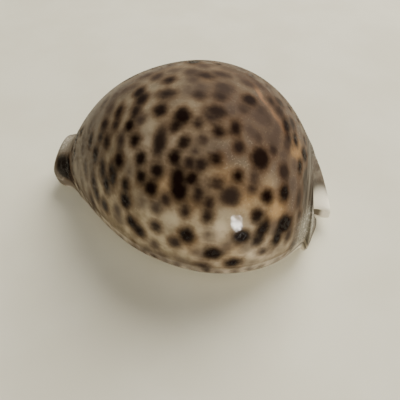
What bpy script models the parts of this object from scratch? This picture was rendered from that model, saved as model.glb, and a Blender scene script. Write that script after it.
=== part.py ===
"""A tiger cowrie: one hollow shell with a toothed slit along its base.

The shell rests on its base with its length along X and +Z up. The front canal
is at -X, the rear canal at +X, and the outer lip is on the +Y side.
"""
import math

import bpy
import numpy as np

# Lengths are in millimetres here and turned into metres when the mesh is made.
MM = 0.001

# Overall form
LENGTH = 80.0
HALF = LENGTH / 2
WIDTH = 56.8
HEIGHT = 42.0
MARGIN_HEIGHT = 13.7
END_MARGIN_HEIGHT = 5.5
MARGIN_ROOT = 0.5

# The dome swells between the two ends, a little nearer the rear
DOME_FRONT = -36.0
DOME_REAR = 36.4
WIDTH_SKEW = 0.12
INNER_SIDE_SKEW = 0.26
WIDTH_ROOT = 0.57
HEIGHT_SKEW = 0.1
HEIGHT_ROOT = 0.54

# The blunt ends that carry the canals
FRONT_HALF_WIDTH = 7.4
FRONT_HEIGHT = 14.7
REAR_HALF_WIDTH = 8.6
REAR_HEIGHT = 11.6
JOIN_SHARPNESS = 7.0
RIM_ROUND = 4.0
FRONT_ARCH_SETBACK = 1.5
REAR_ARCH_SETBACK = 5.8
INNER_LIP_SETBACK = 3.8
FRONT_SHIFT = 5.0
REAR_SHIFT = 1.8
END_LIFT = 2.0
END_LIFT_START = 24.0
FRONT_REACH = 4.0
REAR_REACH = 6.0

# The outer lip is fuller where it runs out to its tip at the rear
FLARE = 6.0
FLARE_AT = 36.0
FLARE_REACH = 4.0

# The slit, its lips and its teeth
SLIT_HALF_GAP = 2.6
SLIT_SWELL = 0.5
SLIT_SWELL_AT = -16.0
SLIT_SWELL_REACH = 14.0
SLIT_BOW = 1.2
SLIT_BOW_REACH = 26.0
SLIT_TURN_BACK = 3.2
CANAL_START = 30.0
CANAL_TURN = 1.3
CANAL_NARROWING = 0.9
LIP_ROUND = 1.6
BASE_FLATNESS = 0.72
BASE_TURN = 1.4
MARGIN_TURN = 0.5
FLAT_CUT = 0.3
TOOTH_COUNT = 22
TOOTH_PITCH = 2.8
TOOTH_DEPTH = 0.75
TOOTH_REACH = 3.0
TOOTH_FADE = 3.0
LEAST_BASE = 3.0
NARROW_BAND_SHARE = 0.4
TOOTH_ROW_HALF = TOOTH_COUNT * TOOTH_PITCH / 2

# Wall thickness and the height of the hollow's floor
TOP_WALL = 2.6
SIDE_WALL = 4.0
CANAL_ROOF = 5.6
END_FLOOR = 2.6
MIDDLE_FLOOR = 7.0
END_LEDGE_RISE = 1.0
LEDGE_RISE = 8.0
HOLLOW_STARTS = 2.0
HOLLOW_OPENS = 12.0
INNER_SHARPNESS = 4.0

# The look of the solid
SHELL_COLOUR = (0.16, 0.105, 0.065, 1.0)
SHELL_ROUGHNESS = 0.15

# How finely the solid is faceted
ROWS_PER_TOOTH = 2
CANAL_ROWS = 5
RIM_ROWS = 4
ROLL_COLUMNS = 2
BAND_COLUMNS = 1
BASE_COLUMNS = 5
DOME_COLUMNS = 9


def smooth_step(x, low, high):
    """Rise from 0 at low to 1 at high with no kink at either end."""
    t = np.clip((x - low) / (high - low), 0.0, 1.0)
    return t * t * t * (t * (6.0 * t - 15.0) + 10.0)


def smooth_max(a, b, sharpness=JOIN_SHARPNESS):
    """The larger of two sizes, with the corner between them rounded."""
    return (np.maximum(a, 0.001) ** sharpness + b ** sharpness) ** (1.0 / sharpness)


def swell(x, skew, root):
    """The dome's profile along the shell: 0 at its ends and 1 where it is fullest."""
    s = (x - (DOME_FRONT + DOME_REAR) / 2) / ((DOME_REAR - DOME_FRONT) / 2)
    t = s - skew * (1.0 - s * s)
    return np.clip(1.0 - t * t, 0.0, 1.0) ** root


def from_front_to_rear(x, front, rear):
    """Change gently from the front end's size to the rear end's size."""
    mix = smooth_step(x, -HALF, HALF)
    return front + (rear - front) * mix


def near_front(x):
    return np.exp(-((x + HALF) / FRONT_REACH) ** 2)


def near_rear(x):
    return np.exp(-((x - HALF) / REAR_REACH) ** 2)


def in_rear_canal(x):
    """0 up to the last tooth and 1 at the rear canal's mouth."""
    return smooth_step(x, CANAL_START, HALF)


def dome_shift(x):
    """Both ends lean towards the outer lip."""
    return FRONT_SHIFT * smooth_step(-x, 0.0, HALF) + REAR_SHIFT * smooth_step(x, 0.0, HALF)


def slit_centre(x):
    """The slit bows towards the outer lip and turns back at the rear."""
    bow = SLIT_BOW * np.exp(-(x / SLIT_BOW_REACH) ** 2)
    turn = SLIT_TURN_BACK * smooth_step(x, 0.0, HALF) + CANAL_TURN * in_rear_canal(x)
    return dome_shift(x) + bow - turn


def slit_half_gap(x):
    """The slit is widest a little ahead of the middle and narrows into the rear canal."""
    swelling = SLIT_SWELL * np.exp(-((x - SLIT_SWELL_AT) / SLIT_SWELL_REACH) ** 2)
    return SLIT_HALF_GAP + swelling - CANAL_NARROWING * in_rear_canal(x)


def half_width(x, side):
    """The half width at the margin, on the outer lip side or the inner lip side."""
    skew = WIDTH_SKEW if side > 0 else INNER_SIDE_SKEW
    end = from_front_to_rear(x, FRONT_HALF_WIDTH, REAR_HALF_WIDTH)
    return smooth_max(WIDTH / 2 * swell(x, skew, WIDTH_ROOT), end)


def end_share(x):
    """1 where the blunt ends make the width and 0 along the dome."""
    end = from_front_to_rear(x, FRONT_HALF_WIDTH, REAR_HALF_WIDTH)
    return (end / half_width(x, 1)) ** JOIN_SHARPNESS


def body_centre(x):
    """The dome's own centre line, which meets the slit at the two ends."""
    share = end_share(x)
    return slit_centre(x) * share + dome_shift(x) * (1.0 - share)


def crown_height(x):
    end = from_front_to_rear(x, FRONT_HEIGHT, REAR_HEIGHT)
    return smooth_max(HEIGHT * swell(x, HEIGHT_SKEW, HEIGHT_ROOT), end)


def margin_height(x):
    rise = MARGIN_HEIGHT - END_MARGIN_HEIGHT
    return END_MARGIN_HEIGHT + rise * swell(x, 0.0, MARGIN_ROOT)


def hollow_share(x):
    """0 in the canals at the ends and 1 where the hollow is fully open."""
    front = smooth_step(x, DOME_FRONT + HOLLOW_STARTS, DOME_FRONT + HOLLOW_OPENS)
    rear = smooth_step(-x, HOLLOW_STARTS - DOME_REAR, HOLLOW_OPENS - DOME_REAR)
    return front * rear


def flare(x, side):
    """How much fuller the outer lip is near its tip."""
    return FLARE * np.exp(-((x - FLARE_AT) / FLARE_REACH) ** 2) if side > 0 else 0.0


def side_stations(x, side):
    """The inner lip's end sits a little further back than the outer lip's."""
    if side > 0:
        return x
    return x - INNER_LIP_SETBACK * near_rear(x)


def arch_stations(x):
    """The roof of each canal sits back from the lips below it."""
    return x + FRONT_ARCH_SETBACK * near_front(x) - REAR_ARCH_SETBACK * near_rear(x)


def groove_depth(x):
    """The grooves between the teeth, deepest halfway from tooth to tooth."""
    wave = 0.5 + 0.5 * np.cos(2.0 * math.pi * (x + TOOTH_ROW_HALF) / TOOTH_PITCH)
    fade = smooth_step(TOOTH_ROW_HALF + TOOTH_PITCH / 2 - np.abs(x), 0.0, TOOTH_FADE)
    return TOOTH_DEPTH * wave * fade


def base_lift(x):
    """The base rises a little under both ends."""
    return END_LIFT * smooth_step(np.abs(x), END_LIFT_START, HALF)


def spread(count):
    """Even steps from 0 towards 1, without the last."""
    return np.arange(count)[None, :] / count


def points(x, y, z):
    return np.stack(np.broadcast_arrays(x, y, z), axis=-1)


def lip_lines(x, side):
    """Where the lip's round ends, where the tooth band ends, and the margin."""
    foot = slit_centre(x) + side * (slit_half_gap(x) + LIP_ROUND)
    reach = half_width(side_stations(x, side), side) + flare(x, side)
    edge = body_centre(x) + side * reach
    # The lobes at the ends are narrower than a full tooth band
    roomy = side * (edge - foot) > TOOTH_REACH + LEAST_BASE
    heel = foot + np.where(roomy, side * TOOTH_REACH, NARROW_BAND_SHARE * (edge - foot))
    return foot, heel, edge


def outer_side(x, side):
    """The outside of one side of the shell, from the slit's edge to the crown."""
    level = side_stations(x, side)
    foot, heel, edge = lip_lines(x, side)
    lift = base_lift(x)
    groove = groove_depth(x)

    angle = math.pi / 2 * spread(ROLL_COLUMNS)
    roll_y = foot - side * (LIP_ROUND - groove) * np.cos(angle)
    roll_z = lift + LIP_ROUND - (LIP_ROUND - groove) * np.sin(angle)
    roll = points(level, roll_y, roll_z)

    out = spread(BAND_COLUMNS)
    band_z = lift + groove * (1.0 - smooth_step(out, 0.0, 1.0))
    band = points(level, foot + (heel - foot) * out, band_z)

    base = flank(x, side, -math.pi / 2 * (1.0 - spread(BASE_COLUMNS) ** 2))
    dome = flank(x, side, math.pi / 2 * np.linspace(0.0, 1.0, DOME_COLUMNS + 1)[None, :])
    return np.concatenate([roll, band, base, dome], axis=1)


def flank(x, side, angle):
    """The section from the flat base round the margin and up to the crown."""
    level = side_stations(x, side)
    foot, heel, edge = lip_lines(x, side)
    low = smooth_step(-angle, -MARGIN_TURN, MARGIN_TURN)
    root = 1.0 - (1.0 - BASE_FLATNESS) * smooth_step(-angle, 0.0, BASE_TURN)
    margin = margin_height(x)
    upright = margin * low + (crown_height(arch_stations(x)) - margin) * (1.0 - low)
    middle = heel * low + body_centre(x) * (1.0 - low)
    sine = np.sin(angle)
    y = middle + (edge - middle) * np.cos(angle) ** root
    z = margin + upright * np.sign(sine) * np.abs(sine) ** root
    z = np.maximum(z - FLAT_CUT * low, 0.0) + base_lift(x) * low
    back = np.clip(sine, 0.0, 1.0) ** 2
    return points(level * (1.0 - back) + arch_stations(x) * back, y, z)


def inner_side(x, side):
    """The inside of one side, from the slit's edge over the hollow to its roof."""
    level = side_stations(x, side)
    open_share = hollow_share(x)
    gap = slit_half_gap(x)
    wall = slit_centre(x) + side * gap
    skew = WIDTH_SKEW if side > 0 else INNER_SIDE_SKEW
    room = (WIDTH / 2 - SIDE_WALL) * swell(x, skew, WIDTH_ROOT) * open_share
    reach = smooth_max(room, gap, INNER_SHARPNESS)
    vault_height = (HEIGHT - TOP_WALL) * swell(x, HEIGHT_SKEW, HEIGHT_ROOT) * open_share
    roof = smooth_max(vault_height, CANAL_ROOF, INNER_SHARPNESS)
    middle = slit_centre(x) * (1.0 - open_share) + body_centre(x) * open_share
    edge = middle + side * reach
    edge = side * np.maximum(side * edge, side * wall)
    floor = END_FLOOR + (MIDDLE_FLOOR - END_FLOOR) * open_share
    turn = floor + END_LEDGE_RISE + LEDGE_RISE * open_share
    lift = base_lift(x)

    up = spread(ROLL_COLUMNS + BAND_COLUMNS)
    groove = groove_depth(x) * (1.0 - smooth_step(up, 0.0, 1.0))
    face = points(level, wall + side * groove, lift + LIP_ROUND + (floor - LIP_ROUND) * up)

    angle = math.pi / 2 * spread(BASE_COLUMNS)
    ledge = points(level, wall + (edge - wall) * np.sin(angle),
                   lift + floor + (turn - floor) * (1.0 - np.cos(angle)))

    angle = math.pi / 2 * np.linspace(0.0, 1.0, DOME_COLUMNS + 1)[None, :]
    back = np.sin(angle) ** 2
    vault = points(level * (1.0 - back) + arch_stations(x) * back,
                   middle + (edge - middle) * np.cos(angle),
                   lift + turn + (roof - turn) * np.sin(angle))
    return np.concatenate([face, ledge, vault], axis=1)


def station_rows():
    """Places along X: close at the rounded ends and in step with the teeth."""
    turn = np.linspace(0.0, math.pi / 2, RIM_ROWS + 1)
    rim = HALF - RIM_ROUND * (1.0 - np.cos(turn))
    canal = np.linspace(rim[-1], TOOTH_ROW_HALF, CANAL_ROWS + 1)[1:]
    teeth = np.linspace(-TOOTH_ROW_HALF, TOOTH_ROW_HALF, TOOTH_COUNT * ROWS_PER_TOOTH + 1)
    end = np.concatenate([rim, canal])
    return np.concatenate([-end, teeth[1:-1], end[::-1]])[:, None]


def rim_fullness(x):
    """The wall rounds off to nothing at the rim of each canal."""
    depth = np.clip(1.0 - (HALF - np.abs(x)) / RIM_ROUND, 0.0, 1.0)
    return np.sqrt(1.0 - depth * depth)[:, :, None]


def join_sides(x, one_side):
    """Run from the outer lip over the crown to the inner lip."""
    return np.concatenate([one_side(x, 1), one_side(x, -1)[:, -2::-1]], axis=1)


def shell_grids():
    x = station_rows()
    inner = join_sides(x, inner_side)
    outer = inner + (join_sides(x, outer_side) - inner) * rim_fullness(x)
    return outer, inner


def shell_mesh(name):
    """One closed skin: the outside and the inside meet along the slit and both rims."""
    outer, inner = shell_grids()
    rows, columns = outer.shape[:2]
    outer_ids = np.arange(rows * columns).reshape(rows, columns)
    inner_ids = outer_ids.copy()
    free = rows * columns + np.arange((rows - 2) * (columns - 2))
    inner_ids[1:-1, 1:-1] = free.reshape(rows - 2, columns - 2)
    vertices = np.concatenate([outer.reshape(-1, 3), inner[1:-1, 1:-1].reshape(-1, 3)]) * MM
    faces = []
    for i in range(rows - 1):
        for j in range(columns - 1):
            a, b = outer_ids[i, j], outer_ids[i, j + 1]
            c, d = outer_ids[i + 1, j + 1], outer_ids[i + 1, j]
            faces.append((a, b, c, d))
            a, b = inner_ids[i, j], inner_ids[i + 1, j]
            c, d = inner_ids[i + 1, j + 1], inner_ids[i, j + 1]
            faces.append((a, b, c, d))
    mesh = bpy.data.meshes.new(name)
    mesh.from_pydata(vertices.tolist(), [], [tuple(int(i) for i in face) for face in faces])
    mesh.validate()
    mesh.shade_smooth()
    return mesh


def polished_shell_material():
    material = bpy.data.materials.new("polished_shell")
    material.use_nodes = True
    shader = material.node_tree.nodes["Principled BSDF"]
    shader.inputs["Base Color"].default_value = SHELL_COLOUR
    shader.inputs["Roughness"].default_value = SHELL_ROUGHNESS
    shader.inputs["Metallic"].default_value = 0.0
    return material


def main():
    for thing in list(bpy.data.objects):
        bpy.data.objects.remove(thing, do_unlink=True)
    mesh = shell_mesh("shell")
    mesh.materials.append(polished_shell_material())
    shell = bpy.data.objects.new("shell", mesh)
    bpy.context.scene.collection.objects.link(shell)


main()
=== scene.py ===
"""Looks of the tiger cowrie: its fine glossy surface, spots, light and camera."""
import math

import bpy
import numpy as np
from mathutils import Matrix, Vector


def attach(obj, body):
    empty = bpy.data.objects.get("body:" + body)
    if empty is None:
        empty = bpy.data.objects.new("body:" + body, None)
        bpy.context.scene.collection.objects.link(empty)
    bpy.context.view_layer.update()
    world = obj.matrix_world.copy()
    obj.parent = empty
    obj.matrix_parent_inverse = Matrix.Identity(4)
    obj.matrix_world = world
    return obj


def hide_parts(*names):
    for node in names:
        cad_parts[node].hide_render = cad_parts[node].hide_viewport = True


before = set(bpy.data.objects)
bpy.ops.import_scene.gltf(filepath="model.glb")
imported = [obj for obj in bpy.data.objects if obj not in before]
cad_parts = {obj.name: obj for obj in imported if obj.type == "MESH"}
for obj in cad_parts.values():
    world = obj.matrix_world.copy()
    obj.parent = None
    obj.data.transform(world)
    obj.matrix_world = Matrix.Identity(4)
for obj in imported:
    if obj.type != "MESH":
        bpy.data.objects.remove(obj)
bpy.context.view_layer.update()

# Lengths are in millimetres here and turned into metres when the mesh is made.
MM = 0.001

# Degrees round the shell, counted from the near margin
CROWN = 90.0
FAR_MARGIN = 180.0

# The same values as the solid's: overall form
LENGTH = 80.0
HALF = LENGTH / 2
WIDTH = 56.8
HEIGHT = 42.0
MARGIN_HEIGHT = 13.7
END_MARGIN_HEIGHT = 5.5
MARGIN_ROOT = 0.5

# The dome swells between the two ends, a little nearer the rear
DOME_FRONT = -36.0
DOME_REAR = 36.4
WIDTH_SKEW = 0.12
INNER_SIDE_SKEW = 0.26
WIDTH_ROOT = 0.57
HEIGHT_SKEW = 0.1
HEIGHT_ROOT = 0.54

# The blunt ends that carry the canals
FRONT_HALF_WIDTH = 7.4
FRONT_HEIGHT = 14.7
REAR_HALF_WIDTH = 8.6
REAR_HEIGHT = 11.6
JOIN_SHARPNESS = 7.0
RIM_ROUND = 4.0
FRONT_ARCH_SETBACK = 1.5
REAR_ARCH_SETBACK = 5.8
INNER_LIP_SETBACK = 3.8
FRONT_SHIFT = 5.0
REAR_SHIFT = 1.8
END_LIFT = 2.0
END_LIFT_START = 24.0
FRONT_REACH = 4.0
REAR_REACH = 6.0
LEAST_SIZE = 0.001

# The outer lip is fuller where it runs out to its tip at the rear
FLARE = 6.0
FLARE_AT = 36.0
FLARE_REACH = 4.0

# The slit, its lips and its teeth
SLIT_HALF_GAP = 2.6
SLIT_SWELL = 0.5
SLIT_SWELL_AT = -16.0
SLIT_SWELL_REACH = 14.0
SLIT_BOW = 1.2
SLIT_BOW_REACH = 26.0
SLIT_TURN_BACK = 3.2
CANAL_START = 30.0
CANAL_TURN = 1.3
CANAL_NARROWING = 0.9
LIP_ROUND = 1.6
BASE_FLATNESS = 0.72
BASE_TURN = 1.4
MARGIN_TURN = 0.5
FLAT_CUT = 0.3
TOOTH_COUNT = 22
TOOTH_PITCH = 2.8
TOOTH_DEPTH = 0.75
TOOTH_REACH = 3.0
TOOTH_FADE = 3.0
LEAST_BASE = 3.0
NARROW_BAND_SHARE = 0.4
TOOTH_ROW_HALF = TOOTH_COUNT * TOOTH_PITCH / 2

# Wall thickness and the height of the hollow's floor
TOP_WALL = 2.6
SIDE_WALL = 4.0
CANAL_ROOF = 5.6
END_FLOOR = 2.6
MIDDLE_FLOOR = 7.0
END_LEDGE_RISE = 1.0
LEDGE_RISE = 8.0
HOLLOW_STARTS = 2.0
HOLLOW_OPENS = 12.0
INNER_SHARPNESS = 4.0

# How finely the shown surface is meshed
ROWS_PER_TOOTH = 10
CANAL_ROWS = 14
RIM_ROWS = 12
ROLL_COLUMNS = 6
BAND_COLUMNS = 8
BASE_COLUMNS = 18
DOME_COLUMNS = 46

# Each spot: mm along, degrees around, mm long, mm tall, darkness from 0 to 1
CROWN_SPOTS = [
    (-2.8, 97, 2.8, 2.2, 0.55), (1.4, 95, 3.4, 2.8, 0.65), (3.4, 102, 3.0, 2.4, 0.55),
    (4.6, 92, 3.9, 2.4, 0.8), (7.9, 96, 4.4, 2.6, 0.7), (9.0, 103, 3.6, 2.6, 0.45),
    (-2.8, 88, 2.9, 2.4, 0.9), (2.5, 88, 2.6, 2.2, 0.6), (14.0, 96, 3.6, 2.6, 0.65),
    (-6.3, 93, 2.6, 3.0, 0.7), (-11.8, 88, 3.0, 2.0, 0.5), (-13.7, 88, 2.2, 2.0, 0.5),
    (19.4, 92, 2.4, 2.6, 0.8), (21.6, 89, 2.8, 2.6, 0.8), (23.6, 83, 2.4, 4.4, 1.0),
    (26.0, 80, 2.4, 3.4, 0.95), (24.4, 76, 2.2, 3.0, 0.85), (12.0, 99, 3.0, 2.0, 0.5),
    (-9.6, 98, 3.0, 2.4, 0.6), (21.4, 98, 3.0, 2.6, 0.8), (25.0, 90, 2.6, 3.0, 0.8),
    (-19.6, 84, 2.2, 3.4, 0.6), (16.6, 100, 3.2, 2.2, 0.6),
]
UPPER_SPOTS = [
    (-9.3, 82, 2.6, 3.0, 0.9), (-8.0, 76, 3.0, 3.0, 0.9), (-2.4, 78, 4.4, 2.8, 0.85),
    (2.0, 81, 2.0, 2.6, 0.5), (4.3, 79, 3.2, 2.4, 0.8), (4.6, 83, 2.6, 2.6, 0.55),
    (9.3, 86, 4.4, 3.2, 0.7), (8.8, 80, 3.0, 2.2, 0.8), (14.8, 84, 3.4, 3.2, 0.9),
    (14.0, 77, 2.8, 2.2, 0.75), (17.6, 81, 2.6, 2.8, 0.7), (19.2, 78, 2.6, 3.0, 0.65),
    (-13.2, 70, 2.4, 3.4, 0.9), (-16.4, 74, 2.0, 2.8, 0.6), (-17.2, 80, 1.8, 3.6, 0.5),
    (-8.8, 69, 2.4, 3.2, 0.85), (-3.0, 69, 2.9, 3.0, 0.9), (1.9, 67, 3.4, 4.0, 1.0),
    (8.6, 72, 4.6, 3.0, 0.85), (7.6, 69, 2.6, 2.0, 0.8), (16.0, 68, 2.6, 2.4, 0.6),
    (-21.5, 72, 1.6, 3.0, 0.4), (-16.3, 87, 1.8, 3.0, 0.45), (11.6, 75, 2.2, 2.0, 0.5),
    (20.8, 69, 4.4, 2.8, 0.6), (17.4, 76, 4.4, 2.4, 0.6), (21.4, 75, 2.4, 4.0, 0.6),
]
MIDDLE_SPOTS = [
    (-16.9, 63, 2.6, 2.8, 0.8), (-13.3, 62, 2.1, 2.4, 0.85), (-9.5, 61, 2.7, 2.8, 0.95),
    (-7.0, 64, 2.1, 2.1, 0.7), (1.0, 62, 2.5, 2.6, 0.9), (5.3, 65, 2.3, 2.4, 0.85),
    (9.6, 63, 2.5, 2.4, 0.9), (12.9, 67, 2.5, 3.4, 0.9), (14.0, 59, 2.6, 2.6, 0.85),
    (17.7, 66, 2.4, 2.4, 0.7), (18.7, 57, 4.4, 4.8, 0.9), (21.1, 64, 2.6, 2.6, 0.8),
    (24.0, 71, 2.4, 3.4, 0.7), (23.4, 64, 2.4, 1.8, 0.55), (26.4, 64, 2.6, 3.0, 0.55),
    (27.9, 65, 2.0, 4.0, 1.0), (24.0, 56, 3.4, 3.6, 0.8), (26.6, 51, 2.0, 3.0, 0.5),
    (-22.5, 62, 1.6, 3.4, 0.55), (-21.1, 53, 2.0, 3.4, 0.85), (-17.5, 55, 2.0, 2.4, 0.8),
    (-15.2, 52, 2.4, 3.2, 0.85), (-11.1, 53, 2.1, 3.6, 0.75), (-7.4, 54, 2.7, 2.8, 0.95),
    (-1.8, 54, 2.8, 5.8, 0.85), (3.2, 56, 2.5, 2.6, 0.9), (6.9, 58, 2.1, 2.0, 0.75),
    (1.8, 49, 2.7, 2.7, 1.0), (5.7, 53, 2.0, 1.8, 0.7), (4.8, 48, 2.1, 2.4, 0.85),
    (7.2, 48, 2.5, 2.6, 0.85), (10.0, 52, 2.5, 2.5, 0.95), (9.2, 57, 1.9, 1.8, 0.4),
    (14.7, 47, 2.3, 2.3, 0.95), (17.7, 48, 1.9, 2.1, 0.75), (24.9, 45, 3.3, 3.7, 0.95),
]
LOWER_SPOTS = [
    (-24.5, 57, 1.6, 3.0, 0.45), (-24.2, 47, 1.8, 3.0, 0.5), (-18.6, 43, 2.6, 3.6, 0.85),
    (-22.3, 31, 2.0, 3.6, 0.6), (-20.2, 35, 1.6, 2.4, 0.4), (-26.5, 35, 1.4, 3.0, 0.4),
    (-15.7, 36, 2.2, 4.0, 0.85), (-12.9, 37, 2.2, 3.0, 0.9), (-12.3, 33, 2.4, 3.6, 1.0),
    (-10.9, 43, 2.7, 3.2, 0.95), (-5.5, 46, 2.5, 2.7, 0.9), (-8.0, 39, 1.5, 2.0, 0.5),
    (-1.6, 42, 2.7, 2.8, 0.9), (-5.0, 38, 2.4, 3.0, 0.95), (-2.6, 34, 3.1, 3.3, 1.0),
    (3.1, 41, 2.8, 4.2, 1.0), (3.5, 36, 3.7, 4.0, 1.0), (5.7, 42, 2.6, 2.6, 1.0),
    (7.4, 36, 2.3, 2.9, 0.85), (9.7, 34, 1.9, 2.5, 0.85), (10.7, 42, 3.1, 2.2, 0.85),
    (13.7, 38, 4.2, 3.4, 0.8), (17.7, 43, 2.0, 1.8, 0.8), (21.1, 41, 2.9, 2.8, 1.0),
    (28.6, 44, 2.2, 4.4, 0.8), (-14.3, 28, 2.5, 3.8, 0.9), (-8.8, 32, 2.5, 3.4, 0.95),
    (-8.7, 24, 3.0, 3.8, 1.0), (-4.5, 27, 2.0, 2.8, 0.45), (-1.2, 26, 2.4, 2.4, 0.65),
    (0.8, 31, 2.1, 2.4, 0.8), (5.1, 28, 2.2, 2.6, 0.85), (9.6, 28, 2.2, 2.6, 0.85),
    (19.7, 31, 2.9, 2.8, 0.9), (26.0, 26, 5.4, 4.6, 0.95), (21.2, 24, 3.2, 4.6, 1.0),
    (23.5, 25, 1.8, 2.6, 0.5),
]
MARGIN_SPOTS = [
    (-24.5, 15, 1.6, 4.0, 0.4), (-19.0, 24, 2.2, 5.0, 0.8), (-18.0, 16, 2.2, 4.0, 0.8),
    (-20.7, 6, 2.0, 3.4, 0.7), (-15.4, 13, 2.6, 3.6, 0.8), (-11.2, 16, 2.4, 3.2, 0.6),
    (-11.0, 11, 3.0, 2.4, 0.5), (-7.2, 14, 3.0, 3.4, 0.9), (-5.3, 11, 3.0, 3.2, 0.9),
    (-1.2, 17, 2.5, 2.8, 0.85), (-1.7, 6, 2.2, 2.4, 0.6), (-3.8, -1, 2.6, 1.6, 0.5),
    (0.0, -1, 3.0, 1.8, 0.5), (3.3, 12, 2.7, 2.8, 0.8), (4.8, 1, 2.6, 1.8, 0.5),
    (5.7, 17, 3.3, 3.8, 1.0), (10.1, 19, 2.4, 2.4, 0.55), (11.3, 10, 4.2, 3.4, 1.0),
    (8.4, 10, 2.6, 2.6, 0.45), (9.2, 0, 3.2, 2.0, 0.8), (15.9, 4, 3.8, 2.8, 0.95),
    (14.2, 15, 2.4, 3.0, 0.5), (17.0, 20, 3.9, 3.4, 1.0), (18.2, 14, 2.4, 2.0, 0.45),
    (20.4, 17, 2.5, 2.6, 0.85), (20.2, 2, 2.4, 1.8, 0.4), (22.2, 10, 2.3, 1.8, 0.7),
    (24.6, 17, 2.7, 4.6, 0.95), (27.4, 17, 1.8, 3.6, 0.75), (29.6, 4, 2.6, 2.4, 0.7),
    (24.8, -4, 2.4, 1.6, 0.45), (25.6, 8, 2.0, 1.6, 0.35),
]
# Patches on the blunt ends
END_SPOTS = [
    (-35.2, 36, 4.4, 4.2, 1.0), (-34.6, 12, 5.6, 5.6, 1.0), (-32.4, 26, 3.6, 5.0, 0.95),
    (-32.6, -14, 4.4, 3.0, 0.7), (-31.2, 2, 2.8, 3.4, 0.7), (-37.4, -2, 3.0, 5.0, 0.4),
    (36.4, 112, 1.6, 3.6, 0.4), (37.8, 121, 1.8, 3.8, 0.4), (39.4, 135, 1.4, 3.4, 0.35),
]
# Soft washes of colour, some of them painted light, shade and reflection: mm along, degrees around,
# mm across, strength in the middle
# Cream patches: partly the shell's own pale ground, partly painted light on the near flank
CREAM_PATCHES = [
    (13.2, 23, 6.0, 0.4), (21.5, 4, 12.0, 0.8), (10.0, 4, 9.0, 0.4), (11.5, 19, 6.0, 0.6),
    (22.0, 50, 4.0, 0.15), (2.5, 24, 6.0, 0.2), (18.6, 26, 4.0, 0.6), (20.7, 13, 5.0, 0.7),
    (-5.0, 46, 8.0, 0.6), (1.0, 52, 8.0, 0.5), (8.2, 42, 3.0, 0.35), (-9.0, 56, 7.0, 0.3),
]
OCHRE_PATCHES = [
    (23.6, 34, 6.0, 1.0), (17.0, 38, 6.0, 0.7), (26.6, 74, 5.6, 1.8), (12.0, 45, 6.0, 0.5),
    (0.0, 37, 6.0, 0.5), (6.5, 31, 5.0, 0.4), (7.0, 13, 5.0, 0.5), (15.0, 12, 6.0, 0.4),
    (21.0, 47, 4.0, 0.3), (5.0, 90, 4.0, 0.3),
]
DUSK_PATCHES = [
    (16.0, 72, 20.0, 0.65), (22.0, 66, 14.0, 0.5), (8.0, 92, 16.0, 0.4), (26.0, 58, 10.0, 0.8),
    (27.0, 48, 7.0, 0.7), (26.0, 84, 9.0, 0.9), (-33.0, 20, 9.0, 0.9), (-38.0, 0, 6.0, 0.6),
    (20.0, 78, 14.0, 0.8),
    (-11.0, 98, 8.0, 0.9), (-16.0, 91, 7.0, 0.7), (-6.0, 103, 6.0, 0.8), (16.5, 102, 7.0, 0.8),
    (22.0, 99, 8.0, 1.2), (26.0, 96, 7.0, 1.2), (12.0, 106, 6.0, 0.6), (1.4, 18, 4.0, 0.5),
    (24.0, 77, 7.0, 0.5), (25.5, 64, 8.0, 0.5), (26.4, 42, 8.0, 0.8), (26.2, 31, 5.0, 0.6),
    (17.5, 45, 5.0, 0.4), (16.8, 17, 4.0, 0.4), (25.6, 22, 5.0, 0.5),
    (11.7, 53, 5.0, 0.8), (21.0, 50, 5.0, 0.3), (10.0, 76, 7.0, 0.4), (22.0, 80, 5.0, 0.4),
]
# Grey on the blunt ends: painted reflection on the lobes, and painted shade low on the front end
END_REFLECTION_PATCHES = [
    (34.0, 22, 6.0, 0.9), (32.0, 4, 6.0, 0.8), (35.0, 38, 4.0, 0.8), (31.0, 22, 4.0, 0.5),
    (-37.4, 70, 5.0, 0.6), (-36.0, 92, 6.0, 0.55), (-38.0, -5, 5.0, 0.4),
]
# The pale line where the mantle's two halves met: mm along and degrees around
LINE_BENDS = [(-14.0, 97.0), (0.0, 101.0), (9.0, 101.0), (15.5, 96.0), (17.3, 89.5),
              (20.5, 83.5), (23.0, 79.0), (26.5, 73.0)]

# The spots scattered over the rest of the shell, outside the stretch whose spots are listed
SPOT_SEED = 7
SPOT_TRIES = 5000
SPOT_GAP = 0.9
SCATTER_ALONG = (-31.0, 30.0)
SCATTER_AROUND = (-16.0, 196.0)
PLACED_ALONG = (-26.0, 29.0)
PLACED_AROUND = (-3.0, 104.0)
SCATTER_SIZE = (1.4, 3.4)
SCATTER_TALLNESS = (0.9, 1.35)
SCATTER_DARKNESS = (0.55, 0.95)
# They get smaller towards the base on either side
MARGIN_AROUND = (-14.0, 190.0)
MARGIN_SPREAD = 25.0
MARGIN_SIZE_SHARE = 0.55

# How near spots run together, and the least and greatest distance that the paint is given
SPOT_MERGE = 2.6
DEEPEST = -3.0
FAR_DISTANCE = 9.0

# Degrees beyond the margins where the base turns white, held back at the front end
WHITE_BEYOND = (12.0, 44.0)
WHITE_HELD_BACK = 26.0
BEAK_STARTS = -26.0
BEAK_ENDS = -32.0

# Colours as seen on screen: red, green and blue from 0 to 255
TAN = (118, 107, 88)
PALE_TAN = (144, 130, 105)
# Paler tans low on the near flank: partly the shell's own tone, partly painted light
LOW_TAN = (138, 122, 95)
LOW_PALE_TAN = (186, 170, 138)
FRONT_GREY = (122, 112, 100)
DUSK = (74, 63, 57)
CREAM = (206, 188, 158)
OCHRE = (176, 136, 84)
MOTTLE_BROWN = (98, 80, 58)
SPECKLE_CREAM = (186, 168, 142)
# Painted shade where the shell turns from the light: the far flank, the low margin and the streaked
# rear end
EDGE_SHADE_BROWN = (70, 58, 46)
EDGE_SHADE_PALE_BROWN = (98, 84, 68)
STREAK_DARK = (58, 51, 43)
STREAK_PALE = (108, 99, 86)
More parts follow.
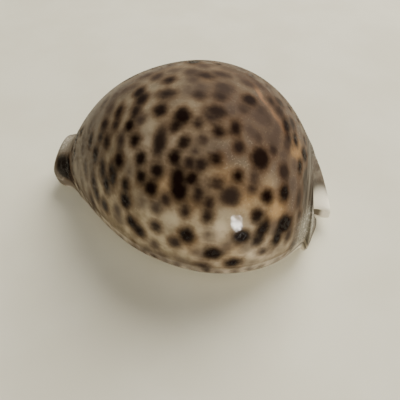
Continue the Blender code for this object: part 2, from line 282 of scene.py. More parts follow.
# A painted highlight just under the near margin, where the shell turns under
MARGIN_HIGHLIGHT_CREAM = (206, 194, 170)
LINE_TAN = (148, 112, 82)
FAINT_RIM = (110, 97, 82)
BROWN_RIM = (104, 76, 50)
FAINT_HEART = (74, 61, 52)
BLACK_HEART = (20, 10, 6)
# Painted reflection: a grey veil over the crown
CROWN_REFLECTION_GREY = (68, 61, 57)
# Painted reflection on the end lobes, with pale grains of painted glints
LOBE_REFLECTION_GREY = (138, 132, 116)
LOBE_GLINT_GREY = (182, 176, 160)
LIP_WHITE = (238, 230, 208)
BASE_WHITE = (228, 219, 200)
# Painted shade inside the rear canal
CANAL_SHADE_BROWN = (112, 102, 86)
FLOOR_TINT = (211, 206, 184)
FLOOR_PALE_TINT = (217, 213, 192)

# Features of the noise, in mm
CLOUD_SIZE = 6.0
LOW_CLOUD_SIZE = 4.0
EDGE_SHADE_CLOUD_SIZE = 3.0
MOTTLE_SIZE = 2.2
SPECKLE_SIZE = 0.45
# The pale grains on the end lobes are painted glints
GLINT_GRAIN_SIZE = 0.5
LINE_BREAK_SIZE = 4.0
WOBBLE_SIZE = 2.6
FRINGE_SIZE = 0.7
COAT_PATCH_SIZE = 0.8
RIPPLE_SIZE = 0.7
FLOOR_CLOUD_SIZE = 30.0
# Streaks run round the shell: mm along and degrees around
STREAK_SIZE = (0.9, 40.0)
# How many finer layers the noise has
SMOOTH = 1.0
SOFT = 2.0
FINE = 3.0
FINEST = 4.0

# Where the noise turns from one colour into the other, and how far it goes
CLOUDS = (0.35, 0.65)
MOTTLE = (0.45, 0.7, 0.0, 0.3)
SPECKLE = (0.5, 0.8, 0.0, 0.3)
STREAKS = (0.35, 0.7)
GLINT_GRAINS = (0.45, 0.7)
LINE_BREAKS = (0.35, 0.6, 0.25, 1.0)
COAT_PATCHES = (0.4, 0.6, 0.06, 0.28)
FLOOR_CLOUDS = (0.3, 0.7)

# Places in mm along or degrees around: where a colour starts, where it is full, and both strengths
# Paler low on the near flank: partly the shell's own tone, partly painted light from the near side
LOW_GROUND = (56.0, 12.0, 0.0, 0.8)
FRONT_GROUND = (-12.0, -24.0, 0.0, 0.6)
# Painted shade on the far flank, the low margin and the rear end, which is streaked
FAR_EDGE_SHADE = (98.0, 112.0, 0.0, 0.95)
FAR_EDGE_SHADE_FADES = (138.0, 118.0, 0.35, 1.0)
LOW_EDGE_SHADE = (12.0, -4.0, 0.0, 0.4)
REAR_EDGE_SHADE = (27.0, 30.0, 0.0, 0.95)
REAR_STREAKS = (25.0, 29.0)
# A painted highlight just under the near margin
MARGIN_HIGHLIGHT_TOP = (-1.0, -5.0, 0.0, 0.7)
MARGIN_HIGHLIGHT_BOTTOM = (-20.0, -13.0)
LINE_STRONGER = (8.0, 18.0, 0.3, 0.85)
# Painted reflection over the crown, fading out on the far flank
CROWN_REFLECTION_STARTS = (58.0, 92.0, 0.0, 0.2)
CROWN_REFLECTION_ENDS = (138.0, 118.0)
LIP_WHITENS = (38.7, 40.0)
OUTER_LIP = (95.0, 110.0)
# Painted shade inside the rear canal, fading out before its mouth
REAR_CANAL_SHADE = (26.0, 33.0)
REAR_CANAL_MOUTH = (38.4, 36.8)

# Distances in mm from the pale line and from a spot's edge, and how far noise moves that edge
LINE_EDGE = (1.3, 0.1)
WOBBLE = 1.3
FRINGE = 0.45
RIM_EDGE = (1.8, -0.1)
HEART_EDGE = (1.45, -1.1)
# What a spot's darkness does to its rim, its heart's colour and its heart's strength
RIM_BY_DARKNESS = (0.3, 0.9, 0.2, 0.66)
HEART_COLOUR_BY_DARKNESS = (0.4, 1.2, 0.0, 1.3)
HEART_BY_DARKNESS = (0.2, 0.8, 0.45, 1.0)

# Each wash: the patches' name, how strong it gets and its colour
WASHES = [("dusk", 0.85, DUSK), ("cream", 0.85, CREAM), ("ochre", 0.75, OCHRE)]

# The mix node's colour sockets, which share their names with its other sockets
FIRST_COLOUR = 6
SECOND_COLOUR = 7
MIXED_COLOUR = 2

# The polish
BODY_ROUGHNESS = 0.35
COAT_ROUGHNESS = 0.03
COAT_IOR = 1.5
RIPPLE_HEIGHT = 0.028

# How the photo was taken: its picture is square, and its focal length is the same as its side
PHOTO_AZIMUTH = 9.4
PHOTO_ELEVATION = 48.5
PHOTO_ROLL = 0.8
PHOTO_DISTANCE = 98.5
PHOTO_AIM = (5.8, -10.9, 15.0)
LENS = 36.0
SENSOR = 36.0
NEAREST_SHOWN = 5.0

# Where the window glints on the shell: mm along and degrees around
GLINT_ALONG = 15.6
GLINT_AROUND = 26.0

# Light and floor, in metres and watts
DAYLIGHT = (1.0, 0.97, 0.92)
ROOM_TINT = (1.0, 0.96, 0.9, 1.0)
ROOM_STRENGTH = 0.12
SKY_AIM = (0.0, 0.0, 0.02)
# Each soft light: name, place, side and power
SKY_LIGHTS = [("sky_side", (0.25, 0.6, 0.7), 0.8, 20.5), ("sky_near", (0.25, -0.7, 0.9), 1.2, 6.4)]
GLOW_DISTANCE = 0.5
GLOW_WIDTH = 0.12
GLOW_HEIGHT = 0.4
GLOW_POWER = 2.2
WINDOW_DISTANCE = 0.1
WINDOW_WIDTH = 0.02
WINDOW_HEIGHT = 0.027
WINDOW_POWER = 0.14
PANE_SHARE = 0.38
FLOOR_SIZE = 6.0
FLOOR_ROUGHNESS = 0.8

# A step small enough to read the surface's directions from, in mm and in degrees
SURFACE_STEP = 0.5


# The shell's form

def smooth_step(x, low, high):
    """Rise from 0 at low to 1 at high with no kink at either end."""
    t = np.clip((x - low) / (high - low), 0.0, 1.0)
    return t * t * t * (t * (6.0 * t - 15.0) + 10.0)


def smooth_max(a, b, sharpness=JOIN_SHARPNESS):
    """The larger of two sizes, with the corner between them rounded."""
    return (np.maximum(a, LEAST_SIZE) ** sharpness + b ** sharpness) ** (1.0 / sharpness)


def swell(x, skew, root):
    """The dome's profile along the shell: 0 at its ends and 1 where it is fullest."""
    s = (x - (DOME_FRONT + DOME_REAR) / 2) / ((DOME_REAR - DOME_FRONT) / 2)
    t = s - skew * (1.0 - s * s)
    return np.clip(1.0 - t * t, 0.0, 1.0) ** root


def from_front_to_rear(x, front, rear):
    """Change gently from the front end's size to the rear end's size."""
    mix = smooth_step(x, -HALF, HALF)
    return front + (rear - front) * mix


def near_front(x):
    return np.exp(-((x + HALF) / FRONT_REACH) ** 2)


def near_rear(x):
    return np.exp(-((x - HALF) / REAR_REACH) ** 2)


def in_rear_canal(x):
    """0 up to the last tooth and 1 at the rear canal's mouth."""
    return smooth_step(x, CANAL_START, HALF)


def dome_shift(x):
    """Both ends lean towards the outer lip."""
    return FRONT_SHIFT * smooth_step(-x, 0.0, HALF) + REAR_SHIFT * smooth_step(x, 0.0, HALF)


def slit_centre(x):
    """The slit bows towards the outer lip and turns back at the rear."""
    bow = SLIT_BOW * np.exp(-(x / SLIT_BOW_REACH) ** 2)
    turn = SLIT_TURN_BACK * smooth_step(x, 0.0, HALF) + CANAL_TURN * in_rear_canal(x)
    return dome_shift(x) + bow - turn


def slit_half_gap(x):
    """The slit is widest a little ahead of the middle and narrows into the rear canal."""
    swelling = SLIT_SWELL * np.exp(-((x - SLIT_SWELL_AT) / SLIT_SWELL_REACH) ** 2)
    return SLIT_HALF_GAP + swelling - CANAL_NARROWING * in_rear_canal(x)


def half_width(x, side):
    """The half width at the margin, on the outer lip side or the inner lip side."""
    skew = WIDTH_SKEW if side > 0 else INNER_SIDE_SKEW
    end = from_front_to_rear(x, FRONT_HALF_WIDTH, REAR_HALF_WIDTH)
    return smooth_max(WIDTH / 2 * swell(x, skew, WIDTH_ROOT), end)


def end_share(x):
    """1 where the blunt ends make the width and 0 along the dome."""
    end = from_front_to_rear(x, FRONT_HALF_WIDTH, REAR_HALF_WIDTH)
    return (end / half_width(x, 1)) ** JOIN_SHARPNESS


def body_centre(x):
    """The dome's own centre line, which meets the slit at the two ends."""
    share = end_share(x)
    return slit_centre(x) * share + dome_shift(x) * (1.0 - share)


def crown_height(x):
    end = from_front_to_rear(x, FRONT_HEIGHT, REAR_HEIGHT)
    return smooth_max(HEIGHT * swell(x, HEIGHT_SKEW, HEIGHT_ROOT), end)


def margin_height(x):
    rise = MARGIN_HEIGHT - END_MARGIN_HEIGHT
    return END_MARGIN_HEIGHT + rise * swell(x, 0.0, MARGIN_ROOT)


def hollow_share(x):
    """0 in the canals at the ends and 1 where the hollow is fully open."""
    front = smooth_step(x, DOME_FRONT + HOLLOW_STARTS, DOME_FRONT + HOLLOW_OPENS)
    rear = smooth_step(-x, HOLLOW_STARTS - DOME_REAR, HOLLOW_OPENS - DOME_REAR)
    return front * rear


def flare(x, side):
    """How much fuller the outer lip is near its tip."""
    return FLARE * np.exp(-((x - FLARE_AT) / FLARE_REACH) ** 2) if side > 0 else 0.0


def side_stations(x, side):
    """The inner lip's end sits a little further back than the outer lip's."""
    if side > 0:
        return x
    return x - INNER_LIP_SETBACK * near_rear(x)


def arch_stations(x):
    """The roof of each canal sits back from the lips below it."""
    return x + FRONT_ARCH_SETBACK * near_front(x) - REAR_ARCH_SETBACK * near_rear(x)


def groove_depth(x):
    """The grooves between the teeth, deepest halfway from tooth to tooth."""
    wave = 0.5 + 0.5 * np.cos(2.0 * math.pi * (x + TOOTH_ROW_HALF) / TOOTH_PITCH)
    fade = smooth_step(TOOTH_ROW_HALF + TOOTH_PITCH / 2 - np.abs(x), 0.0, TOOTH_FADE)
    return TOOTH_DEPTH * wave * fade


def base_lift(x):
    """The base rises a little under both ends."""
    return END_LIFT * smooth_step(np.abs(x), END_LIFT_START, HALF)


def spread(count):
    """Even steps from 0 towards 1, without the last."""
    return np.arange(count)[None, :] / count


def points(x, y, z):
    return np.stack(np.broadcast_arrays(x, y, z), axis=-1)


def base_angles():
    return -math.pi / 2 * (1.0 - spread(BASE_COLUMNS) ** 2)


def dome_angles():
    return math.pi / 2 * np.linspace(0.0, 1.0, DOME_COLUMNS + 1)[None, :]


def lip_lines(x, side):
    """Where the lip's round ends, where the tooth band ends, and the margin."""
    foot = slit_centre(x) + side * (slit_half_gap(x) + LIP_ROUND)
    reach = half_width(side_stations(x, side), side) + flare(x, side)
    edge = body_centre(x) + side * reach
    # The lobes at the ends are narrower than a full tooth band
    roomy = side * (edge - foot) > TOOTH_REACH + LEAST_BASE
    heel = foot + np.where(roomy, side * TOOTH_REACH, NARROW_BAND_SHARE * (edge - foot))
    return foot, heel, edge


def flank(x, side, angle):
    """The section from the flat base round the margin and up to the crown."""
    level = side_stations(x, side)
    _, heel, edge = lip_lines(x, side)
    low = smooth_step(-angle, -MARGIN_TURN, MARGIN_TURN)
    root = 1.0 - (1.0 - BASE_FLATNESS) * smooth_step(-angle, 0.0, BASE_TURN)
    margin = margin_height(x)
    upright = margin * low + (crown_height(arch_stations(x)) - margin) * (1.0 - low)
    middle = heel * low + body_centre(x) * (1.0 - low)
    sine = np.sin(angle)
    y = middle + (edge - middle) * np.cos(angle) ** root
    z = margin + upright * np.sign(sine) * np.abs(sine) ** root
    z = np.maximum(z - FLAT_CUT * low, 0.0) + base_lift(x) * low
    back = np.clip(sine, 0.0, 1.0) ** 2
    return points(level * (1.0 - back) + arch_stations(x) * back, y, z)


def outer_side(x, side):
    """The outside of one side of the shell, from the slit's edge to the crown."""
    level = side_stations(x, side)
    foot, heel, _ = lip_lines(x, side)
    lift = base_lift(x)
    groove = groove_depth(x)

    angle = math.pi / 2 * spread(ROLL_COLUMNS)
    roll_y = foot - side * (LIP_ROUND - groove) * np.cos(angle)
    roll_z = lift + LIP_ROUND - (LIP_ROUND - groove) * np.sin(angle)
    roll = points(level, roll_y, roll_z)

    out = spread(BAND_COLUMNS)
    band_z = lift + groove * (1.0 - smooth_step(out, 0.0, 1.0))
    band = points(level, foot + (heel - foot) * out, band_z)

    base = flank(x, side, base_angles())
    dome = flank(x, side, dome_angles())
    return np.concatenate([roll, band, base, dome], axis=1)


def inner_side(x, side):
    """The inside of one side, from the slit's edge over the hollow to its roof."""
    level = side_stations(x, side)
    open_share = hollow_share(x)
    gap = slit_half_gap(x)
    wall = slit_centre(x) + side * gap
    skew = WIDTH_SKEW if side > 0 else INNER_SIDE_SKEW
    room = (WIDTH / 2 - SIDE_WALL) * swell(x, skew, WIDTH_ROOT) * open_share
    reach = smooth_max(room, gap, INNER_SHARPNESS)
    vault_height = (HEIGHT - TOP_WALL) * swell(x, HEIGHT_SKEW, HEIGHT_ROOT) * open_share
    roof = smooth_max(vault_height, CANAL_ROOF, INNER_SHARPNESS)
    middle = slit_centre(x) * (1.0 - open_share) + body_centre(x) * open_share
    edge = middle + side * reach
    edge = side * np.maximum(side * edge, side * wall)
    floor = END_FLOOR + (MIDDLE_FLOOR - END_FLOOR) * open_share
    turn = floor + END_LEDGE_RISE + LEDGE_RISE * open_share
    lift = base_lift(x)

    up = spread(ROLL_COLUMNS + BAND_COLUMNS)
    groove = groove_depth(x) * (1.0 - smooth_step(up, 0.0, 1.0))
    face = points(level, wall + side * groove, lift + LIP_ROUND + (floor - LIP_ROUND) * up)

    angle = math.pi / 2 * spread(BASE_COLUMNS)
    ledge = points(level, wall + (edge - wall) * np.sin(angle),
                   lift + floor + (turn - floor) * (1.0 - np.cos(angle)))

    angle = dome_angles()
    back = np.sin(angle) ** 2
    vault = points(level * (1.0 - back) + arch_stations(x) * back,
                   middle + (edge - middle) * np.cos(angle),
                   lift + turn + (roof - turn) * np.sin(angle))
    return np.concatenate([face, ledge, vault], axis=1)


def station_rows():
    """Places along X: close at the rounded ends and in step with the teeth."""
    turn = np.linspace(0.0, math.pi / 2, RIM_ROWS + 1)
    rim = HALF - RIM_ROUND * (1.0 - np.cos(turn))
    canal = np.linspace(rim[-1], TOOTH_ROW_HALF, CANAL_ROWS + 1)[1:]
    teeth = np.linspace(-TOOTH_ROW_HALF, TOOTH_ROW_HALF, TOOTH_COUNT * ROWS_PER_TOOTH + 1)
    end = np.concatenate([rim, canal])
    return np.concatenate([-end, teeth[1:-1], end[::-1]])[:, None]


def rim_fullness(x):
    """The wall rounds off to nothing at the rim of each canal."""
    depth = np.clip(1.0 - (HALF - np.abs(x)) / RIM_ROUND, 0.0, 1.0)
    return np.sqrt(1.0 - depth * depth)[:, :, None]


def join_sides(x, one_side):
    """Run from the outer lip over the crown to the inner lip."""
    return np.concatenate([one_side(x, 1), one_side(x, -1)[:, -2::-1]], axis=1)


def around_columns():
    """Degrees round the shell: 0 at the near margin, 90 at the crown, 180 at the far margin."""
    lips = np.full((1, ROLL_COLUMNS + BAND_COLUMNS), -CROWN)
    near = np.concatenate([lips, np.degrees(base_angles()), np.degrees(dome_angles())], axis=1)
    return np.concatenate([FAR_MARGIN - near, near[:, -2::-1]], axis=1)


def surface_point(along, around):
    """The outside's point at a place along the shell and an angle round it."""
    side = -1 if around <= CROWN else 1
    angle = math.radians(around if side < 0 else FAR_MARGIN - around)
    return flank(np.array([[along]]), side, np.array([[angle]]))[0, 0]


def surface_frame(along, around):
    """The outside's point there, with its directions along, around and outwards."""
    here = surface_point(along, around)
    ahead = surface_point(along + SURFACE_STEP, around) - surface_point(along - SURFACE_STEP, around)
    ahead = ahead / np.linalg.norm(ahead)
    upward = surface_point(along, around + SURFACE_STEP) - surface_point(along, around - SURFACE_STEP)
    upward = upward - ahead * np.dot(ahead, upward)
    upward = upward / np.linalg.norm(upward)
    return here, ahead, upward, np.cross(ahead, upward)


# The markings

def placed_by_hand(along, around):
    """Whether a place is in the stretch whose spots are all listed."""
    return (PLACED_ALONG[0] < along < PLACED_ALONG[1]
            and PLACED_AROUND[0] < around < PLACED_AROUND[1])


def filled_spots(placed):
    """Scatter more spots over the rest of the dome, none of them touching another."""
    random = np.random.default_rng(SPOT_SEED)
    spots = list(placed)
    centres = [surface_point(spot[0], spot[1]) for spot in spots]
    sizes = [max(spot[2], spot[3]) / 2 for spot in spots]
    for _ in range(SPOT_TRIES):
        along = random.uniform(*SCATTER_ALONG)
        around = random.uniform(*SCATTER_AROUND)
        if placed_by_hand(along, around):
            continue
        margin = min(around - MARGIN_AROUND[0], MARGIN_AROUND[1] - around) / MARGIN_SPREAD
        share = min(1.0, MARGIN_SIZE_SHARE + (1.0 - MARGIN_SIZE_SHARE) * margin)
        size = random.uniform(*SCATTER_SIZE) * share
        tall = size * random.uniform(*SCATTER_TALLNESS)
        dark = random.uniform(*SCATTER_DARKNESS)
        centre = surface_point(along, around)
        gaps = np.linalg.norm(np.array(centres) - centre, axis=1) - np.array(sizes)
        if gaps.min() > size / 2 + SPOT_GAP:
            spots.append((along, around, size, tall, dark))
            centres.append(centre)
            sizes.append(max(size, tall) / 2)
    return spots


def spot_fields(places, spots):
    """For each place, the distance in mm to the spots' edges and the nearest spot's darkness."""
    weight_sum = np.full(len(places), math.exp(-SPOT_MERGE * FAR_DISTANCE))
    dark_sum = np.zeros(len(places))
    for along, around, long, tall, dark in spots:
        centre, ahead, upward, outward = surface_frame(along, around)
        offset = places - centre
        u = offset @ ahead / (long / 2)
        v = offset @ upward / (tall / 2)
        w = offset @ outward / (tall / 2)
        ratio = np.sqrt(u * u + v * v + w * w)
        distance = np.clip((ratio - 1.0) * min(long, tall) / 2, DEEPEST, FAR_DISTANCE)
        weight = np.exp(-SPOT_MERGE * distance)
        weight_sum += weight
        dark_sum += weight * dark
    return -np.log(weight_sum) / SPOT_MERGE, dark_sum / weight_sum


def wash(places, patches):
    """How strongly the soft patches colour each place, from 0 to 1."""
    total = np.zeros(len(places))
    for along, around, size, strength in patches:
        distance = np.linalg.norm(places - surface_point(along, around), axis=1)
        total += strength * np.exp(-(distance / (size / 2)) ** 2)
    return np.minimum(total, 1.0)


def line_distance(places):
    """Distance in mm from the pale line, taken as straight pieces between its bends."""
    nearest = np.full(len(places), FAR_DISTANCE)
    bends = [surface_point(along, around) for along, around in LINE_BENDS]
    for start, end in zip(bends[:-1], bends[1:]):
        step = end - start
        share = np.clip((places - start) @ step / (step @ step), 0.0, 1.0)
        gap = np.linalg.norm(places - start - share[:, None] * step, axis=1)
        nearest = np.minimum(nearest, gap)
    return nearest


def paint_values(outer, inner, x):
    """Everything the shell's paint needs, for the outside and then the inside."""
    around = np.broadcast_to(around_columns(), outer.shape[:2])
    along = np.broadcast_to(x, outer.shape[:2])
    places = outer.reshape(-1, 3)
    spots = filled_spots(CROWN_SPOTS + UPPER_SPOTS + MIDDLE_SPOTS + LOWER_SPOTS
                         + MARGIN_SPOTS + END_SPOTS)
    distance, dark = spot_fields(places, spots)
    # The white of the base starts further under the shell at its front end
    beyond = (np.maximum(-around, around - FAR_MARGIN)
              - WHITE_HELD_BACK * smooth_step(-along, -BEAK_STARTS, -BEAK_ENDS))
    outside = {
        "along": along,
        "around": around,
        "spot": distance,
        "dark": dark,
        "white": smooth_step(beyond, *WHITE_BEYOND),
        "inside": np.zeros(len(places)),
        "line": line_distance(places),
        # The cream wash is partly painted light
        "cream": wash(places, CREAM_PATCHES),
        "ochre": wash(places, OCHRE_PATCHES),
        "dusk": wash(places, DUSK_PATCHES),
        # The grey wash is painted reflection on the end lobes and painted shade low on the front end
        "grey": wash(places, END_REFLECTION_PATCHES),
    }
    # The inside is white without markings, apart from the painted shade in the rear canal
    plain = np.zeros(inner.shape[:2])
    inside = dict.fromkeys(outside, plain)
    inside["along"] = along
    inside["around"] = around
    inside["spot"] = plain + FAR_DISTANCE
    inside["line"] = plain + FAR_DISTANCE
    inside["white"] = plain + 1.0
    inside["inside"] = smooth_step(along, *REAR_CANAL_SHADE)
    return outside, inside


# The shown mesh

def shell_mesh(name):
    """One closed skin: the outside and the inside meet along the slit and both rims."""
    x = station_rows()
    inner = join_sides(x, inner_side)
    outer = inner + (join_sides(x, outer_side) - inner) * rim_fullness(x)
    rows, columns = outer.shape[:2]
    outer_ids = np.arange(rows * columns).reshape(rows, columns)
    inner_ids = outer_ids.copy()
    free = rows * columns + np.arange((rows - 2) * (columns - 2))
    inner_ids[1:-1, 1:-1] = free.reshape(rows - 2, columns - 2)
    vertices = np.concatenate([outer.reshape(-1, 3), inner[1:-1, 1:-1].reshape(-1, 3)]) * MM
    outside = np.stack([outer_ids[:-1, :-1], outer_ids[:-1, 1:],
                        outer_ids[1:, 1:], outer_ids[1:, :-1]], axis=-1)
    inside = np.stack([inner_ids[:-1, :-1], inner_ids[1:, :-1],
                       inner_ids[1:, 1:], inner_ids[:-1, 1:]], axis=-1)
    faces = np.concatenate([outside.reshape(-1, 4), inside.reshape(-1, 4)])
    mesh = bpy.data.meshes.new(name)
    mesh.from_pydata(vertices.tolist(), [], faces.tolist())
    mesh.shade_smooth()
    outside_paint, inside_paint = paint_values(outer, inner, x)
    for key in outside_paint:
        values = np.concatenate([outside_paint[key].ravel(),
                                 inside_paint[key][1:-1, 1:-1].ravel()])
        layer = mesh.attributes.new(key, "FLOAT", "POINT")
        layer.data.foreach_set("value", values.astype(np.float32))
    return mesh


# The shell's finish

def linear_colour(shown):
    """A colour as seen on screen, turned by the sRGB formula into what a shader takes."""
    linear = []
    for channel in shown:
        share = channel / 255.0
        linear.append(share / 12.92 if share < 0.04045 else ((share + 0.055) / 1.055) ** 2.4)
    return (*linear, 1.0)


class Paint:
    """Short names for the shader nodes that the paint uses."""

    def __init__(self, material):
        self.tree = material.node_tree
        self.place = self.tree.nodes.new("ShaderNodeTexCoord").outputs["Object"]

    def feed(self, socket, source):
        """Link another node's output, or set a number or a colour as seen on screen."""
        if isinstance(source, bpy.types.NodeSocket):
            self.tree.links.new(source, socket)
        elif isinstance(source, tuple):
            socket.default_value = linear_colour(source)
        else:
            socket.default_value = source

    def value(self, name):
        """One of the values that the mesh carries."""
        node = self.tree.nodes.new("ShaderNodeAttribute")
        node.attribute_name = name
        return node.outputs["Fac"]

    def math(self, operation, first, second):
        node = self.tree.nodes.new("ShaderNodeMath")
        node.operation = operation
        self.feed(node.inputs[0], first)
        self.feed(node.inputs[1], second)
        return node.outputs["Value"]

    def times(self, first, second):
        return self.math("MULTIPLY", first, second)

    def noise(self, size, detail=SOFT):
        """Noise from 0 to 1 with features of about this many mm."""
        node = self.tree.nodes.new("ShaderNodeTexNoise")
        node.inputs["Scale"].default_value = 1.0 / (size * MM)
        node.inputs["Detail"].default_value = detail
        self.feed(node.inputs["Vector"], self.place)
        return node.outputs["Fac"]

    def streaks(self, along_size, around_size):
        """Fine noise stretched round the shell: mm along and degrees around."""
        place = self.tree.nodes.new("ShaderNodeCombineXYZ")
        self.feed(place.inputs["X"], self.math("DIVIDE", self.value("along"), along_size))
        self.feed(place.inputs["Y"], self.math("DIVIDE", self.value("around"), around_size))
        node = self.tree.nodes.new("ShaderNodeTexNoise")
        node.inputs["Scale"].default_value = 1.0
        node.inputs["Detail"].default_value = FINE
        self.feed(node.inputs["Vector"], place.outputs["Vector"])
        return node.outputs["Fac"]

    def rise(self, value, low, high, bottom=0.0, top=1.0):
        """Go smoothly from bottom to top as the value goes from low to high."""
        node = self.tree.nodes.new("ShaderNodeMapRange")
        node.interpolation_type = "SMOOTHERSTEP"
        self.feed(node.inputs["Value"], value)
        node.inputs["From Min"].default_value = low
        node.inputs["From Max"].default_value = high
        node.inputs["To Min"].default_value = bottom
        node.inputs["To Max"].default_value = top
        return node.outputs["Result"]

    def mix(self, share, first, second):
        """The first colour turning into the second as share goes from 0 to 1."""
        node = self.tree.nodes.new("ShaderNodeMix")
        node.data_type = "RGBA"
        self.feed(node.inputs["Factor"], share)
        self.feed(node.inputs[FIRST_COLOUR], first)
        self.feed(node.inputs[SECOND_COLOUR], second)
        return node.outputs[MIXED_COLOUR]

    def clouds(self, size, first, second):
        """Two colours in soft clouds of about this many mm."""
        return self.mix(self.rise(self.noise(size), *CLOUDS), first, second)

    def wobble(self, size, detail, reach):
        """Noise about zero that moves an edge to and fro."""
        return self.times(self.math("SUBTRACT", self.noise(size, detail), 0.5), reach)


def ground_colour(paint):
    """Tan and greyish clouds with washes of dusky brown, cream and ochre; the paler low near flank
    and the cream are partly painted light.
    """
    # Paler low on the near flank, partly painted light
    low = paint.rise(paint.value("around"), *LOW_GROUND)
    ground = paint.mix(low, paint.clouds(CLOUD_SIZE, TAN, PALE_TAN),
                       paint.clouds(LOW_CLOUD_SIZE, LOW_TAN, LOW_PALE_TAN))
    for name, strength, tint in WASHES:
        ground = paint.mix(paint.times(paint.value(name), strength), ground, tint)
    mottle = paint.rise(paint.noise(MOTTLE_SIZE, FINE), *MOTTLE)
    ground = paint.mix(mottle, ground, MOTTLE_BROWN)
    speckle = paint.rise(paint.noise(SPECKLE_SIZE, FINE), *SPECKLE)
    ground = paint.mix(speckle, ground, SPECKLE_CREAM)
    front = paint.rise(paint.value("along"), *FRONT_GROUND)
    return paint.mix(front, ground, FRONT_GREY)


def edge_shade_and_highlight(paint, ground):
    """Painted shade in grey-brown on the far flank, along the margin and at the rear, where it is
    streaked, and a painted highlight along the margin.
    """
    around = paint.value("around")
    along = paint.value("along")
    # Painted shade on the far flank, along the low margin and at the rear
    far = paint.times(paint.rise(around, *FAR_EDGE_SHADE), paint.rise(around, *FAR_EDGE_SHADE_FADES))
    low = paint.rise(around, *LOW_EDGE_SHADE)
    rear = paint.rise(along, *REAR_EDGE_SHADE)
    share = paint.math("MAXIMUM", paint.math("MAXIMUM", far, low), rear)
    plain = paint.clouds(EDGE_SHADE_CLOUD_SIZE, EDGE_SHADE_BROWN, EDGE_SHADE_PALE_BROWN)
    streaky = paint.mix(paint.rise(paint.streaks(*STREAK_SIZE), *STREAKS), STREAK_DARK, STREAK_PALE)
    ground = paint.mix(share, ground, paint.mix(paint.rise(along, *REAR_STREAKS), plain, streaky))
    # A painted highlight just under the near margin, where the shell turns under
    margin_highlight = paint.times(paint.rise(around, *MARGIN_HIGHLIGHT_TOP), paint.rise(around, *MARGIN_HIGHLIGHT_BOTTOM))
    return paint.mix(margin_highlight, ground, MARGIN_HIGHLIGHT_CREAM)


def add_pale_line(paint, ground):
    """The broken pale line over the crown, stronger towards the rear."""
    line = paint.times(paint.rise(paint.value("line"), *LINE_EDGE),
                       paint.rise(paint.noise(LINE_BREAK_SIZE, FINE), *LINE_BREAKS))
    stronger = paint.rise(paint.value("along"), *LINE_STRONGER)
    return paint.mix(paint.times(line, stronger), ground, LINE_TAN)


def add_spots(paint, ground):
    """Dark brown spots with a wobbly edge, each inside a softer brown rim."""
    wobble = paint.wobble(WOBBLE_SIZE, SOFT, WOBBLE)
    fringe = paint.wobble(FRINGE_SIZE, FINE, FRINGE)
    edge = paint.math("ADD", paint.value("spot"), paint.math("ADD", wobble, fringe))
    dark = paint.value("dark")
    halo = paint.times(paint.rise(edge, *RIM_EDGE), paint.rise(dark, *RIM_BY_DARKNESS))
    ground = paint.mix(halo, ground, paint.mix(dark, FAINT_RIM, BROWN_RIM))
    heart = paint.mix(paint.rise(dark, *HEART_COLOUR_BY_DARKNESS), FAINT_HEART, BLACK_HEART)
    core = paint.times(paint.rise(edge, *HEART_EDGE), paint.rise(dark, *HEART_BY_DARKNESS))
    return paint.mix(core, ground, heart)


def add_crown_reflection(paint, spotted):
    """Painted reflection: a thin grey veil over the spots of the crown."""
    around = paint.value("around")
    reflection = paint.times(paint.rise(around, *CROWN_REFLECTION_STARTS), paint.rise(around, *CROWN_REFLECTION_ENDS))
    return paint.mix(reflection, spotted, CROWN_REFLECTION_GREY)


def add_ends(paint, spotted):
    """The grey lobes at the two ends, painted reflection with fine pale grains of painted glints, and
    a white outer lip.
    """
    grains = paint.rise(paint.noise(GLINT_GRAIN_SIZE, FINEST), *GLINT_GRAINS)
    grey = paint.mix(grains, LOBE_REFLECTION_GREY, LOBE_GLINT_GREY)
    # The grey is painted reflection, with painted shade low on the front end
    spotted = paint.mix(paint.value("grey"), spotted, grey)
    lip = paint.times(paint.rise(paint.value("along"), *LIP_WHITENS),
                      paint.rise(paint.value("around"), *OUTER_LIP))
    return paint.mix(lip, spotted, LIP_WHITE)


def add_base(paint, spotted):
    """The white base and inside, with painted shade in brown inside the rear canal."""
    shade = paint.times(paint.value("inside"), paint.rise(paint.value("along"), *REAR_CANAL_MOUTH))
    pale = paint.mix(shade, BASE_WHITE, CANAL_SHADE_BROWN)
    return paint.mix(paint.value("white"), spotted, pale)


def shell_material():
    """Spotted paint under a thin, slightly uneven polish."""
    material = bpy.data.materials.new("cowrie_polish")
    material.use_nodes = True
    paint = Paint(material)
    shader = material.node_tree.nodes["Principled BSDF"]
    ground = add_pale_line(paint, edge_shade_and_highlight(paint, ground_colour(paint)))
    spotted = add_ends(paint, add_crown_reflection(paint, add_spots(paint, ground)))
    paint.feed(shader.inputs["Base Color"], add_base(paint, spotted))
    shader.inputs["Roughness"].default_value = BODY_ROUGHNESS
    # Only the polish mirrors
    shader.inputs["Specular IOR Level"].default_value = 0.0
    paint.feed(shader.inputs["Coat Weight"],
               paint.rise(paint.noise(COAT_PATCH_SIZE), *COAT_PATCHES))
    shader.inputs["Coat Roughness"].default_value = COAT_ROUGHNESS
    shader.inputs["Coat IOR"].default_value = COAT_IOR
    ripples = material.node_tree.nodes.new("ShaderNodeBump")
    ripples.inputs["Distance"].default_value = RIPPLE_HEIGHT * MM
    paint.feed(ripples.inputs["Height"], paint.noise(RIPPLE_SIZE, SMOOTH))
    paint.feed(shader.inputs["Coat Normal"], ripples.outputs["Normal"])
    return material


# Floor, light and camera

def view_direction():
    """From the aim point back towards the camera."""
    azimuth = math.radians(PHOTO_AZIMUTH)
    elevation = math.radians(PHOTO_ELEVATION)
    return Vector((math.sin(azimuth) * math.cos(elevation),
                   -math.cos(azimuth) * math.cos(elevation),
                   math.sin(elevation)))


def camera_place():
    return (Vector(PHOTO_AIM) + view_direction() * PHOTO_DISTANCE) * MM


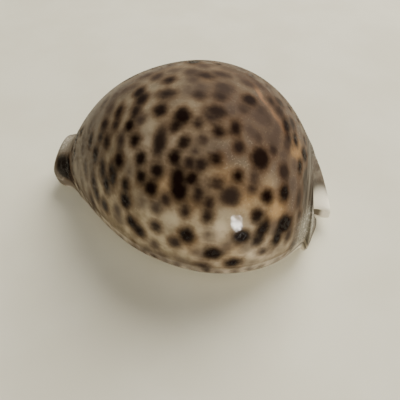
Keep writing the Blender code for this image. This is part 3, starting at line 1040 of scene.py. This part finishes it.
def add_camera():
    data = bpy.data.cameras.new("camera")
    data.lens = LENS
    data.sensor_width = SENSOR
    data.clip_start = NEAREST_SHOWN * MM
    camera = bpy.data.objects.new("camera", data)
    bpy.context.scene.collection.objects.link(camera)
    turn = view_direction().to_track_quat("Z", "Y").to_matrix()
    roll = Matrix.Rotation(math.radians(PHOTO_ROLL), 3, "Z")
    camera.matrix_world = Matrix.Translation(camera_place()) @ (turn @ roll).to_4x4()
    bpy.context.scene.camera = camera


def floor_material():
    material = bpy.data.materials.new("pale_floor")
    material.use_nodes = True
    paint = Paint(material)
    shader = material.node_tree.nodes["Principled BSDF"]
    clouds = paint.rise(paint.noise(FLOOR_CLOUD_SIZE, FINE), *FLOOR_CLOUDS)
    paint.feed(shader.inputs["Base Color"], paint.mix(clouds, FLOOR_TINT, FLOOR_PALE_TINT))
    shader.inputs["Roughness"].default_value = FLOOR_ROUGHNESS
    return material


def add_floor():
    bpy.ops.mesh.primitive_plane_add(size=FLOOR_SIZE, location=(0.0, 0.0, 0.0))
    floor = bpy.context.object
    floor.name = "floor"
    floor.data.materials.append(floor_material())


def add_area_light(name, place, aim, width, height, power, mirrored):
    """A rectangular light in metres, seen either only in the gloss or only as soft light."""
    data = bpy.data.lights.new(name, "AREA")
    data.shape = "RECTANGLE"
    data.size = width
    data.size_y = height
    data.energy = power
    data.color = DAYLIGHT
    light = bpy.data.objects.new(name, data)
    direction = Vector(place) - Vector(aim)
    light.matrix_world = (Matrix.Translation(place)
                          @ direction.to_track_quat("Z", "Y").to_matrix().to_4x4())
    light.visible_glossy = mirrored
    light.visible_diffuse = not mirrored
    bpy.context.scene.collection.objects.link(light)


def glint_direction():
    """The glint's place on the shell, and the way from there to the window that it mirrors."""
    here, _, _, outward = surface_frame(GLINT_ALONG, GLINT_AROUND)
    here = Vector(here) * MM
    normal = Vector(outward).normalized()
    to_camera = (camera_place() - here).normalized()
    return here, 2.0 * normal.dot(to_camera) * normal - to_camera


def add_room():
    """A dim even light from all around."""
    world = bpy.data.worlds.new("soft_room")
    world.use_nodes = True
    background = world.node_tree.nodes["Background"]
    background.inputs["Color"].default_value = ROOM_TINT
    background.inputs["Strength"].default_value = ROOM_STRENGTH
    bpy.context.scene.world = world


def add_window():
    """A window beside the shell: a soft glow, and two panes that only the polish mirrors."""
    here, direction = glint_direction()
    add_area_light("window_glow", here + direction * GLOW_DISTANCE, here, GLOW_WIDTH, GLOW_HEIGHT,
                   GLOW_POWER, False)
    across = direction.cross(Vector((0.0, 0.0, 1.0))).normalized()
    for side in (-1, 1):
        pane = here + direction * WINDOW_DISTANCE + across * side * WINDOW_WIDTH / 4
        add_area_light("window_pane", pane, here, WINDOW_WIDTH * PANE_SHARE, WINDOW_HEIGHT,
                       WINDOW_POWER, True)


def add_lights():
    add_room()
    for name, place, size, power in SKY_LIGHTS:
        add_area_light(name, place, SKY_AIM, size, size, power, False)
    add_window()


def add_shell():
    mesh = shell_mesh("cowrie")
    mesh.materials.append(shell_material())
    cowrie = bpy.data.objects.new("cowrie", mesh)
    bpy.context.scene.collection.objects.link(cowrie)
    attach(cowrie, "root")
    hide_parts("shell")


add_shell()
add_floor()
add_lights()
add_camera()
